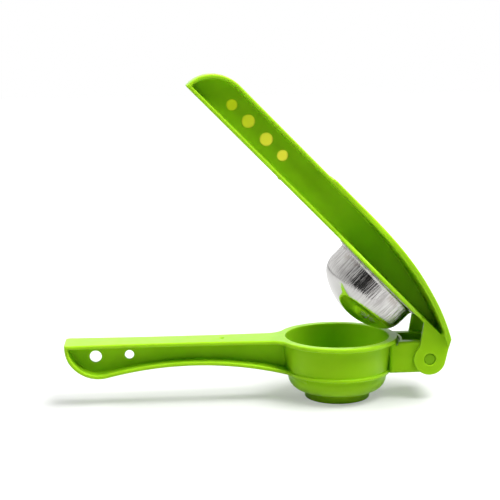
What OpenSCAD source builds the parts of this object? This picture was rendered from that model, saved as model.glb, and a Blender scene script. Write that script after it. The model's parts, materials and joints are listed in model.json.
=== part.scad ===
// Hinged lemon squeezer.
// A cup with a fixed I-section handle, and a long I-section lever on a fork hinge that
// carries a pressed steel dome. Millimetres. The origin is on the cup's axis, on the
// plane the foot stands on; +X points to the hinge, -X along the handle, +Z up.

/* [Cup] */
// Height of the rim above the foot
rim_z = 35.8; // [35.0:0.1:36.2]
// Outer radius of the flat rim
rim_r = 34.5; // [34.0:0.1:36.0]
// Thickness of the rim and of the flange it grows out of
rim_t = 2.5; // [2.0:0.1:3.0]
// Outer radius of the wall just under the rim
wall_top_r = 31.4; // [31.0:0.1:32.0]
// Outer radius of the wall just above the ridge
wall_low_r = 29.4; // [29.0:0.1:29.8]
// Thickness of the wall
wall_t = 1.9; // [1.5:0.1:2.0]
// Outer radius of the ridge that runs round the cup
ridge_r = 30.6; // [30.2:0.1:31.5]
// Height of the ridge's lower face
ridge_z = 15.4; // [15.0:0.1:16.0]
// Thickness of the ridge
ridge_t = 1.7; // [1.4:0.1:2.0]
// Radius of the bowl's rounded lower corner
bowl_corner_r = 8.5; // [8.0:0.1:8.8]
// Radius from the cup's axis to the centre of that corner
bowl_corner_x = 19.9; // [19.5:0.1:20.2]
// Height of the centre of that corner
bowl_corner_z = 13.3; // [13.0:0.1:13.6]
// Outer radius of the foot ring
foot_r = 18.6; // [18.0:0.1:19.5]
// Wall thickness of the foot ring
foot_wall = 2.2; // [1.8:0.1:2.6]
// How much wider the foot ring is where it meets the bowl
foot_draft = 0.3; // [0.1:0.1:0.5]
// How far the floor dips from its edge to its centre
floor_dip = 1.6; // [1.0:0.1:1.8]

/* [Juice slots] */
// Number of slots in the floor
slot_count = 8; // [6:1:10]
// Width of each slot
slot_w = 2.4; // [1.8:0.1:2.6]
// Radius from the axis to a slot's inner end
slot_inner = 5.5; // [5.0:0.5:6.5]
// Radius from the axis to a slot's outer end
slot_outer = 14.0; // [12.0:0.5:14.5]

/* [Grips] */
// Distance from the cup's axis to the handle's end
handle_reach = 155.7; // [145:0.1:165]
// Radius of the handle's rounded end, seen from the side
handle_end_r = 19.9; // [19.0:0.1:20.5]
// Distance from the cup's axis to the handle's shallowest place
handle_waist_x = 82.0; // [78:0.5:86]
// Height of the handle's underside at its shallowest place
handle_waist_z = 22.1; // [21.5:0.1:23.0]
// Thickness of the flanges
flange_t = 2.3; // [2.0:0.1:2.6]
// Thickness of the web between the flanges
web_t = 2.4; // [2.0:0.1:3.0]
// Half the width of a flange at its narrowest
grip_half = 8.8; // [8.0:0.1:9.5]
// Radius of the long curve of a flange's edge, seen from above
grip_edge_r = 1125; // [1000:25:1400]
// Distance from a grip's end back to its narrowest place
grip_waist_back = 60.0; // [50:1:70]
// Radius that rounds a grip's end corners, seen from above
grip_corner_r = 3.0; // [2.0:0.5:4.0]
// Radius of the fillet between a flange and the ring it runs into
root_r = 12.0; // [10:0.5:14]
// How much wider than its narrowest place the handle is where that fillet starts
root_widening = 1.1; // [0.8:0.1:1.5]
// Radius of the hang hole
hang_r = 3.4; // [3.0:0.1:3.6]
// Radius of the smaller hole beside it
small_hole_r = 2.6; // [2.0:0.1:3.0]

/* [Hinge] */
// Distance from the cup's axis to the hinge axis
hinge_x = 50.5; // [50.0:0.1:51.0]
// Height of the hinge axis above the foot
hinge_z = 24.3; // [24.2:0.1:24.6]
// Radius of the pin
pin_r = 3.25; // [2.5:0.05:3.5]
// Radial running clearance of the pin in the ears
pin_play = 0.06; // [0.02:0.01:0.09]
// How far the pin's ends lie below the ears' outer faces
pin_recess = 0.6; // [0.3:0.1:1.0]
// Width of the arm between the ears
arm_w = 29.6; // [28:0.2:30]
// Radius of the arm's end
arm_end_r = 8.9; // [8.6:0.1:9.0]
// Height of the arm's underside
arm_base_z = 15.9; // [15.7:0.1:17.0]
// How far the arm's top lies below the rim
arm_drop = 1.8; // [1.4:0.1:2.4]
// Distance from the hinge axis back to where the arm's top starts to slope down
arm_shoulder = 6.5; // [5:0.5:8]
// Radius that rounds the arm's long edges
arm_edge_r = 1.8; // [1.5:0.1:3.0]
// Thickness of each cheek beside the arm's pocket
cheek_t = 6.2; // [5.0:0.1:7.0]
// Distance from the cup's axis to the near wall of the pocket
pocket_x = 37.1; // [36.5:0.1:39]
// Thickness of the pocket's floor
pocket_floor_t = 2.6; // [2.0:0.1:3.5]
// Thickness of each ear
ear_t = 2.6; // [2.2:0.1:3.0]
// Outer radius of the ears
ear_r = 9.1; // [8.8:0.1:9.4]
// Gap between the arm and each ear
ear_gap = 0.3; // [0.2:0.05:0.5]
// Distance along the lever to where an ear's front edge meets it
ear_root = 17.5; // [16.5:0.1:18.5]
// Slope of an ear's front edge, in degrees from the lever
ear_slope = 54; // [52:1:57]
// Radius of the fillet between that edge and the ear's round end
ear_fillet_r = 6.0; // [4:0.5:8]

/* [Lever] */
// How far the lever stands open, in degrees from closed
open_angle = 45.5; // [0:0.5:165]
// Distance from the hinge axis to the lever's tip
lever_reach = 205.3; // [195:0.1:215]
// Height of the lever's underside above the hinge axis, when closed
base_h = 12.25; // [12.2:0.05:12.6]
// Height of the grip's top above the hinge axis
grip_h = 33.35; // [33.0:0.05:33.8]
// Height of the head's top above the hinge axis
head_h = 34.25; // [34.0:0.05:34.6]
// Distance from the hinge axis to where the head's curved back starts
crown_x = 88.0; // [84:1:92]
// Radius of the head's curved back
crown_r = 248.0; // [240:1:260]
// Distance from the hinge axis to where the back starts to curve more towards the tail
bend_x = 25.0; // [22:0.5:28]
// Radius of the back between there and the tail
tail_r = 138.0; // [130:1:150]
// Distance from the hinge axis to the step up from grip to head
step_x = 109.0; // [105:1:113]
// Thickness of the lever's lower flange
base_t = 2.25; // [2.0:0.05:2.6]
// Distance from the hinge axis to the back of the recess
recess_back = 6.0; // [5.5:0.1:8]
// How far beyond the hinge axis the tail's upper edge is
tail_x = 0.5; // [0.2:0.1:1.0]
// How far the tail's end stands out past the ears' back edges
tail_proud = 0.3; // [0.2:0.1:0.5]
// Half the width of the tail's upper flange, which stands out past the ears
tail_half = 18.6; // [18.3:0.1:20]
// Radius of the sweep from the upper flange out to the head
sweep_r = 46.0; // [40:1:50]
// How much wider than its narrowest place the grip is where that sweep starts
sweep_widening = 0.7; // [0.4:0.1:1.0]
// Radius of the head
head_r = 34.5; // [34.0:0.1:35.0]
// Thickness of the skin left over the round pockets in the web
skin_t = 0.5; // [0.4:0.1:0.8]
// Distance from the hinge axis to the middle of the row of pockets
pocket_row_x = 159.4; // [155:0.2:163]

/* [Dome] */
// Distance from the hinge axis to the dome's axis
dome_x = 50.9; // [50.7:0.1:51.1]
// Outer radius of the dome's lip
lip_r = 30.1; // [29.8:0.1:30.3]
// Outer radius of the dome's straight side
dome_r = 27.2; // [26.8:0.1:27.4]
// Radius of the flare from the side out to the lip
flare_r = 2.3; // [2.0:0.1:2.4]
// Thickness of the steel
steel_t = 0.6; // [0.5:0.1:0.8]
// Length of the straight side, from under the lip
side_h = 9.0; // [8.0:0.1:10.0]
// Depth of the rounded end below the straight side
crown_depth = 17.2; // [16.0:0.1:17.6]
// Radius of the dome's shoulder
shoulder_r = 12.5; // [11.5:0.1:13.0]
// Thickness of the ribs that back the steel
rib_t = 2.0; // [1.6:0.1:2.4]
// Number of ribs across the dome
rib_count = 3; // [2:1:4]
// Gap between the ribs and the steel
rib_gap = 0.3; // [0.2:0.05:0.5]
// Height of the stem's flat end above the outside of the dome
stem_tip_drop = 1.5; // [1.2:0.1:2.5]
// Radius of the small stud left by the moulding gate
gate_r = 0.8; // [0.5:0.1:1.0]
// Height of that stud
gate_h = 0.5; // [0.3:0.1:0.6]

/* [Hidden] */
$fn = 96;
long_fn = 720;      // for arcs of long radius
fine_fn = 180;      // for arcs of middling radius
eps = 0.01;         // a cutter runs this far past the face it opens
past = 1;           // how far a trimming outline reaches past what it trims
crease = 0.05;      // how far a fillet's arc runs past tangency
plastic = [0.55, 0.85, 0.12];
pin_plastic = [0.42, 0.66, 0.12];
steel = [0.78, 0.79, 0.80];

arm_half = arm_w / 2;
ear_inner = arm_half + ear_gap;
ear_outer = ear_inner + ear_t;
recess_h = grip_h - flange_t;                         // top of the lever's recess
back_t = head_h - recess_h;                           // thickness of the head's back
arm_top_z = rim_z - arm_drop;
tip_r = grip_h - base_h;                              // the tip is a quarter round
tip_x = lever_reach - tip_r;
hang_x = handle_reach - 17.5;
hang_z = rim_z - 8.6;
small_hole_x = handle_reach - 36.6;
small_hole_z = rim_z - 8.0;
// The four pockets of the lever's web: place along the row, and radius
web_pockets = [[-20.0, 3.3], [-7.1, 3.9], [7.1, 3.9], [20.0, 3.3]];
gate_x = 131.6;

// Height at x on the upper side of a circle
function arc_height(centre, r, x) = centre.y + sqrt(r * r - pow(x - centre.x, 2));

// Point where the tangent from p touches a circle of radius r round the origin
function tangent_point(p, r, side) =
    let (angle = atan2(p.y, p.x) + side * acos(r / norm(p)))
    r * [cos(angle), sin(angle)];

// Draws a side view as a plate of thickness w, centred on y = 0
module side_plate(w) rotate([90, 0, 0]) linear_extrude(w, center = true) children();

module box_2d(x0, x1, y0, y1) translate([x0, y0]) square([x1 - x0, y1 - y0]);

/* ---- Seen from above: shared by the handle and the lever ---- */

// A grip from its end at x = -reach back to x = 0, waisted by two long arcs
module grip_plan(reach) {
    half = grip_half + grip_corner_r;
    difference() {
        box_2d(-reach, 0, -half, half);
        for (s = [-1, 1]) {
            translate([-reach + grip_waist_back, s * (grip_half + grip_edge_r)])
                circle(grip_edge_r, $fn = long_fn);
            end_corner_cut(reach, s);
        }
    }
}

// What rounds one end corner of a grip
module end_corner_cut(reach, s) {
    drop = grip_edge_r - sqrt(pow(grip_edge_r, 2) - pow(grip_waist_back, 2));
    corner_y = grip_half + drop - grip_corner_r;
    translate([-reach + grip_corner_r, s * corner_y]) scale([1, s]) difference() {
        box_2d(-grip_corner_r - past, 0, 0, grip_corner_r + past);
        circle(grip_corner_r);
    }
}

// Fillets between a grip and a ring round the origin; they meet the ring at a faint crease
module root_fillets(ring_r, half, r) {
    cx = sqrt(pow(ring_r + r - crease, 2) - pow(half + r, 2));
    for (s = [-1, 1]) difference() {
        polygon([[0, 0], [-cx, 0], [-cx, s * (half + r)]]);
        translate([-cx, s * (half + r)]) circle(r, $fn = fine_fn);
    }
}

/* ---- Cup body ---- */

// Place and radius of the waist's arc: it is tangent to the rounded end
handle_end_x = -handle_reach + handle_end_r;
waist_dx = -handle_waist_x - handle_end_x;
waist_dz = rim_z - handle_waist_z;
waist_r = (pow(waist_dx, 2) + pow(waist_dz, 2) - pow(handle_end_r, 2))
    / (2 * (handle_end_r - waist_dz));
waist_c = [-handle_waist_x, handle_waist_z - waist_r];

// The handle seen from the side, drawn in all round by inset
module handle_side(inset, root_x) {
    end_c = [handle_end_x, rim_z];
    r = handle_end_r - inset;
    touch = end_c + r * (waist_c - end_c) / norm(waist_c - end_c);
    difference() {
        union() {
            intersection() {
                translate(end_c) circle(r, $fn = fine_fn);
                box_2d(handle_end_x - r, touch.x, 0, rim_z - inset);
            }
            box_2d(touch.x, root_x, 0, rim_z - inset);
        }
        translate(waist_c) circle(waist_r + inset, $fn = long_fn);
    }
}

module handle_plan(ring_r) {
    grip_plan(handle_reach);
    root_fillets(ring_r, grip_half + root_widening, root_r);
}

module lower_handle() {
    split_z = rim_z - handle_end_r / 2;
    ring_inset = 0.4;       // the lower fillets end on the wall just above the ridge
    // The flanges: a frame of even thickness, cut to the plan
    intersection() {
        side_plate(2 * rim_r) difference() {
            handle_side(0, 0);
            handle_side(flange_t, 1);
        }
        union() {
            linear_extrude(split_z) handle_plan(wall_low_r - ring_inset);
            translate([0, 0, split_z]) linear_extrude(handle_end_r) handle_plan(rim_r);
        }
    }
    side_plate(web_t) handle_side(flange_t / 2, -wall_low_r + wall_t / 2);
}

// Half of the cup's outside in section: foot, rounded bowl, ridge, tapered wall and rim
module cup_half_section() {
    bowl_base_z = bowl_corner_z - bowl_corner_r;
    foot_top_z = bowl_base_z + 1;
    wall_z = ridge_z + ridge_t;
    polygon([[0, 0], [foot_r, 0], [foot_r + foot_draft, foot_top_z], [0, foot_top_z]]);
    intersection() {
        translate([bowl_corner_x, bowl_corner_z]) circle(bowl_corner_r);
        box_2d(bowl_corner_x, rim_r, 0, bowl_corner_z);
    }
    box_2d(0, bowl_corner_x, bowl_base_z, bowl_corner_z);
    box_2d(0, bowl_corner_x + bowl_corner_r, bowl_corner_z, wall_z);
    box_2d(0, ridge_r, ridge_z, wall_z);
    polygon([[0, wall_z], [wall_low_r, wall_z], [wall_top_r, rim_z - rim_t], [0, rim_z - rim_t]]);
    box_2d(0, rim_r, rim_z - rim_t, rim_z);
}

module cup_outside() rotate_extrude($fn = fine_fn) cup_half_section();

// Radius of the cup's inside at height z, on the tapered wall
function inside_r(z) = wall_low_r - wall_t
    + (wall_top_r - wall_low_r) * (z - ridge_z - ridge_t) / (rim_z - rim_t - ridge_z - ridge_t);

module cup_inside() {
    r = bowl_corner_r - wall_t;
    x = inside_r(bowl_corner_z) - r;
    floor_z = bowl_corner_z - r;
    rotate_extrude() {
        translate([x, bowl_corner_z]) intersection() {
            circle(r);
            box_2d(0, r, -r, 0);
        }
        polygon([[0, floor_z - floor_dip], [x, floor_z], [x, bowl_corner_z], [0, bowl_corner_z]]);
    }
    translate([0, 0, bowl_corner_z]) cylinder(
        h = rim_z - bowl_corner_z + eps, r1 = inside_r(bowl_corner_z), r2 = inside_r(rim_z));
}

// The hollow of the foot, open at the bottom, under the dished floor
module foot_hollow() {
    r = foot_r - foot_wall;
    edge_z = bowl_corner_z - bowl_corner_r;
    rotate_extrude() polygon([[0, -past], [r, -past], [r, edge_z], [0, edge_z - floor_dip]]);
}

module juice_slots() {
    for (i = [0 : slot_count - 1]) rotate(i * 360 / slot_count) {
        translate([slot_inner, -slot_w / 2, 0])
            cube([slot_outer - slot_inner, slot_w, bowl_corner_z]);
        for (x = [slot_inner, slot_outer])
            translate([x, 0, 0]) cylinder(h = bowl_corner_z, d = slot_w, $fn = 24);
    }
    cylinder(h = bowl_corner_z, d = slot_w, $fn = 24);
}

// The arm from the side: its top slopes down to a round end about the hinge axis
module arm_side() {
    shoulder = [-arm_shoulder, arm_top_z - hinge_z];
    touch = tangent_point(shoulder, arm_end_r, -1);
    base_h = arm_base_z - hinge_z;
    start_x = wall_low_r - wall_t - hinge_x;
    translate([hinge_x, hinge_z]) {
        polygon([[start_x, base_h], [0, base_h], [0, 0], touch, shoulder, [start_x, shoulder.y]]);
        intersection() {
            circle(arm_end_r);
            box_2d(0, arm_end_r, base_h, arm_end_r);
        }
    }
}

module hinge_arm() intersection() {
    side_plate(arm_w) arm_side();
    // Its cross-section, with rounded long edges
    rotate([90, 0, 90]) linear_extrude(hinge_x + arm_end_r) union() {
        box_2d(-arm_half + arm_edge_r, arm_half - arm_edge_r, arm_base_z, arm_top_z);
        box_2d(-arm_half, arm_half, arm_base_z + arm_edge_r, arm_top_z - arm_edge_r);
        for (y = [-1, 1], z = [arm_base_z + arm_edge_r, arm_top_z - arm_edge_r])
            translate([y * (arm_half - arm_edge_r), z]) circle(arm_edge_r);
    }
}

module arm_pocket() {
    past_pin = 1;           // how far the pocket reaches past the pin
    length = hinge_x + pin_r + past_pin - pocket_x;
    half = arm_half - cheek_t;
    translate([pocket_x, -half, arm_base_z + pocket_floor_t]) cube([length, 2 * half, rim_z]);
}

// A bore along Y through the handle's web
module web_hole(x, z, r) translate([x, 0, z])
    rotate([90, 0, 0]) cylinder(h = 2 * rim_r, r = r, center = true);

module cup_body() color(plastic) difference() {
    union() {
        cup_outside();
        lower_handle();
        hinge_arm();
    }
    cup_inside();
    foot_hollow();
    juice_slots();
    arm_pocket();
    pin_hole(pin_r);
    web_hole(-hang_x, hang_z, hang_r);
    web_hole(-small_hole_x, small_hole_z, small_hole_r);
}

module pin_hole(r) translate([hinge_x, 0, hinge_z])
    rotate([90, 0, 0]) cylinder(h = 2 * rim_r, r = r, center = true);

/* ---- Lever, drawn closed about its hinge axis ---- */

// Swings what is drawn about the origin to where the lever stands
module lever_pose() translate([hinge_x, 0, hinge_z]) rotate([0, open_angle, 0]) children();

// The back's two arcs: the tail's is tangent to the crown's, but for a faint crease
crown_c = [-crown_x, head_h - crown_r];
bend = [-bend_x, arc_height(crown_c, crown_r, -bend_x)];
tail_c = crown_c + (bend - crown_c) * (crown_r - tail_r + crease / 2) / crown_r;
tail = [tail_x, arc_height(tail_c, tail_r, tail_x)];
// The ears' back edges run from just under the tail's end, tangent to their round ends
ear_tail = tail - [tail_proud, 0];
tail_touch = tangent_point(ear_tail, ear_r - crease, -1);
tail_foot = tail + (tail_touch - ear_tail) * (tail.y - base_h) / (ear_tail.y - tail_touch.y);

// A quarter round of radius r at the lever's tip
module tip_round(r) translate([-tip_x, base_h]) intersection() {
    circle(r, $fn = fine_fn);
    box_2d(-r, 0, 0, r);
}

// The part of a side view that lies under the head's curved back, lowered by drop
module under_back(drop) intersection() {
    translate(crown_c) circle(crown_r - drop, $fn = long_fn);
    union() {
        box_2d(-lever_reach, -bend_x, 0, head_h);
        translate(tail_c) circle(tail_r - drop, $fn = long_fn);
    }
    children();
}

module lever_side() {
    ramp = 3;
    box_2d(-tip_x, -step_x, base_h, grip_h);
    tip_round(tip_r);
    polygon([[-step_x - ramp, base_h], [-step_x - ramp, grip_h], [-step_x, head_h],
        [-crown_x, head_h], [-crown_x, base_h]]);
    under_back(0)
        polygon([[-crown_x, base_h], tail_foot, tail, [tail.x, head_h], [-crown_x, head_h]]);
}

module lever_recess() {
    floor_h = base_h + base_t;
    box_2d(-tip_x, -crown_x, floor_h, recess_h);
    intersection() {
        tip_round(tip_r - flange_t);
        box_2d(-lever_reach, -tip_x, floor_h, recess_h);
    }
    under_back(back_t) box_2d(-crown_x, -recess_back, floor_h, head_h);
}

// What lies under the upper flange in a side view: level, then down along the tail
module below_upper_flange() {
    split_h = (base_h + recess_h) / 2;
    clear = 0.2;            // keeps the split inside the recess up to the recess's back
    under = [-recess_back, arc_height(tail_c, tail_r - back_t, -recess_back) - clear];
    slope = (tail.y - arc_height(tail_c, tail_r, -recess_back)) / (tail.x + recess_back);
    end = under + [recess_back + ear_r, slope * (recess_back + ear_r)];
    polygon([[-lever_reach, 0], [-lever_reach, split_h], [-bend_x, split_h], under, end, [end.x, 0]]);
}

// The plan of the upper flange widens out to meet the tail's corners
module lever_plan(fillet, wide) {
    grip_plan(lever_reach);
    translate([-dome_x, 0]) {
        circle(head_r, $fn = fine_fn);
        root_fillets(head_r, grip_half + sweep_widening, fillet);
    }
    if (wide) tail_plan();
    else box_2d(-dome_x, ear_r, -ear_outer, ear_outer);
}

// Straight sides from the head's round outline to the tail's corners
module tail_plan() {
    corner = [tail.x + dome_x, tail_half];
    touch = tangent_point(corner, head_r - crease, 1);
    end_y = tail_half + (corner.y - touch.y) / (corner.x - touch.x) * ear_r;
    translate([-dome_x, 0]) polygon([[0, 0], touch, [corner.x + ear_r, end_y],
        [corner.x + ear_r, -end_y], [touch.x, -touch.y]]);
}

module lever_flanges() {
    intersection() {
        side_plate(2 * head_r) intersection() {
            lever_frame();
            below_upper_flange();
        }
        linear_extrude(head_h) lever_plan(root_r, false);
    }
    intersection() {
        side_plate(2 * head_r) difference() {
            lever_frame();
            below_upper_flange();
        }
        linear_extrude(head_h + past) lever_plan(sweep_r, true);
    }
}

// The lever's flanges, tip and tail as one frame, seen from the side
module lever_frame() difference() {
    lever_side();
    lever_recess();
}

// One ear: a round end, tangent to its back edge and filleted in front
module ear_side() {
    root = [-ear_root, base_h];
    along = [cos(ear_slope), -sin(ear_slope)];            // down the front edge
    out = [-sin(ear_slope), -cos(ear_slope)];             // away from the ear
    edge_d = root * out;
    fillet_c = (edge_d + ear_fillet_r) * out
        - sqrt(pow(ear_r + ear_fillet_r, 2) - pow(edge_d + ear_fillet_r, 2)) * along;
    edge_touch = fillet_c - ear_fillet_r * out;
    round_touch = fillet_c * ear_r / (ear_r + ear_fillet_r);
    sunk = base_t / 2;                                    // how deep the ear runs into the flange
    circle(ear_r);
    difference() {
        polygon([[0, 0], tail_touch, ear_tail, [-recess_back, tail.y - sunk],
            [-recess_back, base_h + sunk], root + [-sunk / tan(ear_slope), sunk], root,
            edge_touch, round_touch]);
        translate(fillet_c) circle(ear_fillet_r);
    }
}

// The stem that the dome sits on: a ring and crossed ribs under the head
module dome_stem() translate([-dome_x, 0, base_h]) {
    ring_r = dome_r - steel_t;
    root_z = base_t / 2;
    tip_z = stem_tip_drop - steel_t - side_h - crown_depth;
    translate([0, 0, -side_h]) difference() {
        cylinder(h = side_h + root_z, r = ring_r);
        translate([0, 0, -eps]) cylinder(h = side_h + eps, r = ring_r - rib_t);
    }
    intersection() {
        dome_form(steel_t + rib_gap, base_t);
        translate([0, 0, tip_z]) linear_extrude(root_z - tip_z)
            for (i = [0 : rib_count - 1]) rotate(i * 180 / rib_count)
                square([2 * ring_r - rib_t, rib_t], center = true);
    }
}

module press_lever() color(plastic) lever_pose() difference() {
    union() {
        lever_flanges();
        side_plate(web_t) lever_side();
        for (s = [-1, 1]) translate([0, s * (ear_inner + ear_t / 2), 0]) side_plate(ear_t) ear_side();
        dome_stem();
        translate([-gate_x, 0, base_h - gate_h]) cylinder(h = gate_h + eps, r = gate_r, $fn = 24);
    }
    rotate([90, 0, 0]) cylinder(h = 2 * head_r, r = pin_r + pin_play, center = true);
    for (p = web_pockets)
        translate([-pocket_row_x + p[0], skin_t - web_t / 2, (base_h + grip_h) / 2])
            rotate([-90, 0, 0]) cylinder(h = web_t, r = p[1], $fn = 48);
}

/* ---- Dome ---- */

// The rounded end is a wide crown arc that meets the shoulder's arc smoothly
shoulder_x = dome_r - shoulder_r;
crown_arc_r = (pow(shoulder_x, 2) + pow(crown_depth, 2) - pow(shoulder_r, 2))
    / (2 * (crown_depth - shoulder_r));

// The dome as a solid, hanging from the plane z = 0, drawn in by inset and running up to top_z
module dome_form(inset, top_z) {
    side_z = -steel_t - side_h;
    crown_c = [0, side_z - crown_depth + crown_arc_r];
    meet = [shoulder_x, side_z] - crown_c;
    rotate_extrude($fn = fine_fn) {
        box_2d(0, dome_r - inset, side_z, top_z);
        intersection() {
            translate([shoulder_x, side_z]) circle(shoulder_r - inset);
            box_2d(shoulder_x, dome_r, side_z - shoulder_r, side_z);
        }
        intersection() {
            translate(crown_c) circle(crown_arc_r - inset, $fn = fine_fn);
            polygon([[0, side_z], [shoulder_x, side_z], crown_c + 2 * meet, [0, crown_c.y - 2 * crown_arc_r]]);
        }
    }
}

// The flare outside the straight side, from radius r out to the lip
module lip_flare(inset) {
    centre = [dome_r + flare_r, -steel_t - flare_r];
    rotate_extrude($fn = fine_fn) difference() {
        box_2d(dome_r - steel_t - eps, centre.x, centre.y, -steel_t + inset);
        translate(centre) circle(flare_r + inset);
    }
}

module press_dome() color(steel) lever_pose() translate([-dome_x, 0, base_h]) difference() {
    union() {
        dome_form(0, 0);
        lip_flare(0);
        translate([0, 0, -steel_t]) cylinder(h = steel_t, r = lip_r, $fn = fine_fn);
    }
    dome_form(steel_t, 1);
    lip_flare(steel_t);
}

/* ---- Pin ---- */

module hinge_pin() color(pin_plastic) translate([hinge_x, 0, hinge_z]) rotate([90, 0, 0]) {
    half = ear_outer - pin_recess;
    chamfer = 0.4;
    cylinder(h = 2 * (half - chamfer), r = pin_r, center = true);
    for (s = [0, 1]) mirror([0, 0, s]) translate([0, 0, half - chamfer])
        cylinder(h = chamfer, r1 = pin_r, r2 = pin_r - chamfer);
}

cup_body();
press_lever();
press_dome();
hinge_pin();
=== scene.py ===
"""Looks of the hinged lemon squeezer.

The two plastic mouldings are modelled as distance fields, so that every edge and corner has
the small radius that a moulding has, and are turned into meshes with a surface net. The
steel dome and the pin are lathed. Lengths are in millimetres up to the last step, where a
mesh is scaled to metres. The lever is modelled closed, about its hinge axis, and swung
open to the rest pose at the end.
"""

import json
import math

import bmesh
import bpy
import numpy as np
from mathutils import Matrix, Vector


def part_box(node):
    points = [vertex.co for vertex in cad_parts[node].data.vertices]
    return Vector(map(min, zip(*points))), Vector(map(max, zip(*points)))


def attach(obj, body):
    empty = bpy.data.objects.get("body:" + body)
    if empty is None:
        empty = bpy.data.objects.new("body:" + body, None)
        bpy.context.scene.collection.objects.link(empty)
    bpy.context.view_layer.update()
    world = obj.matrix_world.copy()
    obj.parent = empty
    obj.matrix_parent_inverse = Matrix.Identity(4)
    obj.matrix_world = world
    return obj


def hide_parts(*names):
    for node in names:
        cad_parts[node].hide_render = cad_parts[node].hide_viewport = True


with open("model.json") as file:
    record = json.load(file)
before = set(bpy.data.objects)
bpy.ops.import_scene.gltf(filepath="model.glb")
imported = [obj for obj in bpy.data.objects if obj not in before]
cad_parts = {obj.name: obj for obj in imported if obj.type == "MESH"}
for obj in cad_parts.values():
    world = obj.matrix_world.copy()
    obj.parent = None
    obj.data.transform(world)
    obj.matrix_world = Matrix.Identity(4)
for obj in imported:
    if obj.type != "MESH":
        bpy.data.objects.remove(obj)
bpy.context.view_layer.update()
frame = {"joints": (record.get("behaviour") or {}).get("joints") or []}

MM = 0.001

# ---- Dimensions, as in the CAD model, in millimetres ----

CUP_LOW, CUP_HIGH = (Vector(corner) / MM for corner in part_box("cup_body"))
HINGE = Vector(frame["joints"][0]["pos_m"]) / MM
OPEN_ANGLE = -math.radians(frame["joints"][0]["range_deg"][0])

RIM_Z = CUP_HIGH.z
RIM_R = CUP_HIGH.y
RIM_T = 2.5
WALL_TOP_R, WALL_LOW_R, WALL_T = 31.4, 29.4, 1.9
RIDGE_R, RIDGE_Z, RIDGE_T = 30.6, 15.4, 1.7
BOWL_R, BOWL_X, BOWL_Z = 8.5, 19.9, 13.3
FOOT_R, FOOT_DRAFT, FOOT_WALL, FLOOR_DIP = 18.6, 0.3, 2.2, 1.6
SLOT_COUNT, SLOT_W, SLOT_INNER, SLOT_OUTER = 8, 2.4, 5.5, 14.0

HANDLE_REACH = -CUP_LOW.x
HANDLE_END_R, WAIST_X, WAIST_Z = 19.9, 82.0, 22.1
FLANGE_T, WEB_T = 2.3, 2.4
GRIP_HALF, GRIP_EDGE_R, GRIP_WAIST_BACK, GRIP_CORNER_R = 8.8, 1125.0, 60.0, 3.0
ROOT_R, ROOT_WIDENING = 12.0, 1.1
HANG_HOLE = (HANDLE_REACH - 17.5, RIM_Z - 8.6, 3.4)
CORD_HOLE = (HANDLE_REACH - 36.6, RIM_Z - 8.0, 2.6)

ARM_HALF, ARM_END_R, ARM_BASE_Z, ARM_EDGE_R = 14.8, 8.9, 15.9, 1.8
ARM_TOP_Z, ARM_SHOULDER = RIM_Z - 1.8, 6.5
CHEEK_T, POCKET_FLOOR_T = 6.2, 2.6
PIN_R, PIN_PLAY, PIN_RECESS = 3.25, 0.06, 0.6
EAR_GAP, EAR_T, EAR_R, EAR_ROOT, EAR_SLOPE, EAR_FILLET_R = 0.3, 2.6, 9.1, 17.5, 54.0, 6.0
EAR_INNER = ARM_HALF + EAR_GAP
EAR_OUTER = EAR_INNER + EAR_T

LEVER_REACH, BASE_H, GRIP_H, HEAD_H = 205.3, 12.25, 33.35, 34.25
CROWN_X, CROWN_R, BEND_X, TAIL_R, STEP_X, BASE_T = 88.0, 248.0, 25.0, 138.0, 109.0, 2.25
RECESS_BACK, TAIL_X, TAIL_PROUD, TAIL_HALF = 6.0, 0.5, 0.3, 18.6
SWEEP_R, HEAD_R, HEAD_WIDENING = 46.0, 34.5, 0.7
SKIN_T, WEB_POCKET_X = 0.5, 159.4
WEB_POCKETS = ((-20.0, 3.3), (-7.1, 3.9), (7.1, 3.9), (20.0, 3.3))
GATE_X, GATE_R, GATE_H = 131.6, 0.8, 0.5

DOME_X, LIP_R, DOME_R, FLARE_R, STEEL_T = 50.9, 30.1, 27.2, 2.3, 0.6
SIDE_H, CROWN_DEPTH, SHOULDER_R = 9.0, 17.2, 12.5
RIB_T, RIB_COUNT, RIB_GAP, STEM_TIP_DROP = 2.0, 3, 0.3, 1.5

# The dome in section, below the head: where its side ends, and the arcs of shoulder and crown
DOME_SIDE_Z = -STEEL_T - SIDE_H
SHOULDER_X = DOME_R - SHOULDER_R
CROWN_ARC_R = (SHOULDER_X ** 2 + CROWN_DEPTH ** 2 - SHOULDER_R ** 2) / (2 * (CROWN_DEPTH - SHOULDER_R))
CROWN_ARC_Z = DOME_SIDE_Z - CROWN_DEPTH + CROWN_ARC_R

# ---- What the CAD model doesn't have, in millimetres ----

POCKET_R = 37.3         # the wall that ends the arm's pocket follows the rim
RIM_SLIT_W, RIM_SLIT_H = 1.2, 3.6
GATE_MARK_X, GATE_MARK_R, GATE_MARK_DEPTH = 66.3, 1.4, 0.8

# Radii that the mould leaves on outer edges and in inner corners
EDGE_R, FLANGE_EDGE_R, RIM_EDGE_R, CORNER_R = 0.5, 0.9, 0.8, 0.8
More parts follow.
